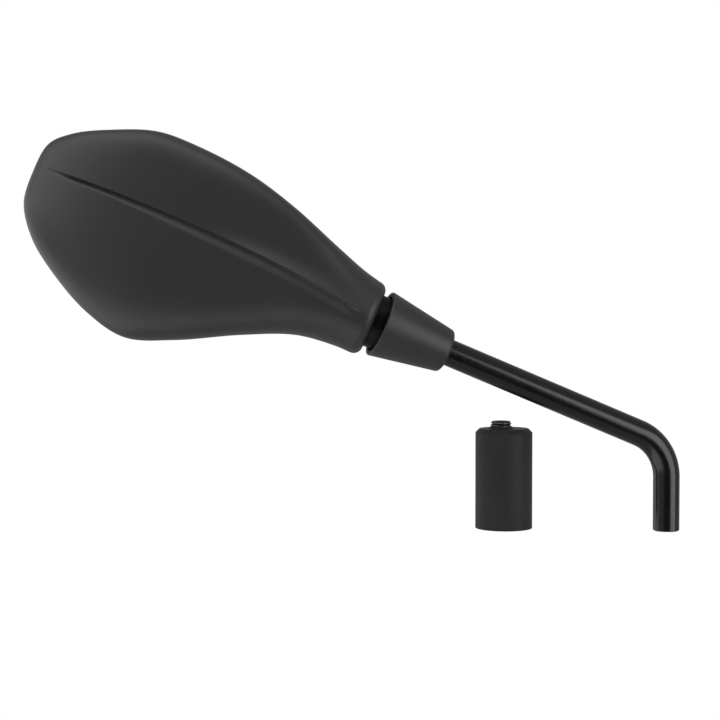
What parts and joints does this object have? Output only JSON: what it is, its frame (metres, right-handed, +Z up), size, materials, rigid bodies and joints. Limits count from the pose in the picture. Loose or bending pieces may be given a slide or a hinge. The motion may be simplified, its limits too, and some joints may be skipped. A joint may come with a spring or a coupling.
{
  "type": "motorcycle mirror",
  "caption": "Leaf-shaped matt black rear-view mirror on a ball joint and a bent round rod, with the round clamp adapter for the rod's plain end standing beside it.",
  "frame": {"origin": "centre of the rod's cut end", "axes": "+Z up the rod's leg, +X away from the head, +Y the way the glass faces"},
  "size_m": [0.2923, 0.0672, 0.1788],
  "materials": {
    "housing_plastic": "fine matt grain, moulded",
    "collar_plastic": "fine matt grain, moulded",
    "rod_paint": "satin black powder coat on steel",
    "socket_black": "black anodised",
    "bare_steel": "turned, lightly oiled",
    "seat_plastic": "natural white nylon",
    "spring_steel": "tempered",
    "plate_plastic": "moulded",
    "foam": "closed-cell foam with adhesive",
    "mirror": "silvered convex glass",
    "adapter_black": "black anodised aluminium",
    "black_steel": "black oxide"
  },
  "bodies": {
    "stem": {"rod": "rod_paint", "ball_stud": "bare_steel", "lock_nut": "bare_steel", "lock_washer": "bare_steel", "collar": "collar_plastic", "adapter_body": "adapter_black", "adapter_stud": "black_steel", "clamp_screw": "black_steel"},
    "rear_seat": {"rear_seat": "seat_plastic"},
    "front_seat": {"front_seat": "seat_plastic"},
    "head": {"socket": "socket_black", "pressure_cup": "bare_steel", "disc_springs": "spring_steel", "spring_cap": "bare_steel", "retaining_ring": "spring_steel", "ring_nut": "bare_steel", "housing": "housing_plastic", "carrier_plate": "plate_plastic", "carrier_screws": "bare_steel", "foam_pad": "foam", "mirror_glass": "mirror"}
  },
  "joints": [
    {"name": "head_pan", "type": "hinge", "parent": "stem", "child": "rear_seat", "pos_m": [-0.1309, -0.02508, 0.09476], "axis": [0.3907, 0, 0.9205], "range_deg": [0, 20]},
    {"name": "head_tilt", "type": "hinge", "parent": "rear_seat", "child": "front_seat", "pos_m": [-0.1309, -0.02508, 0.09476], "axis": [0, 1, 0], "range_deg": [-7, 7]},
    {"name": "head_twist", "type": "hinge", "parent": "front_seat", "child": "head", "pos_m": [-0.1309, -0.02508, 0.09476], "axis": [-0.9205, 0, 0.3907], "continuous": true}
  ]
}
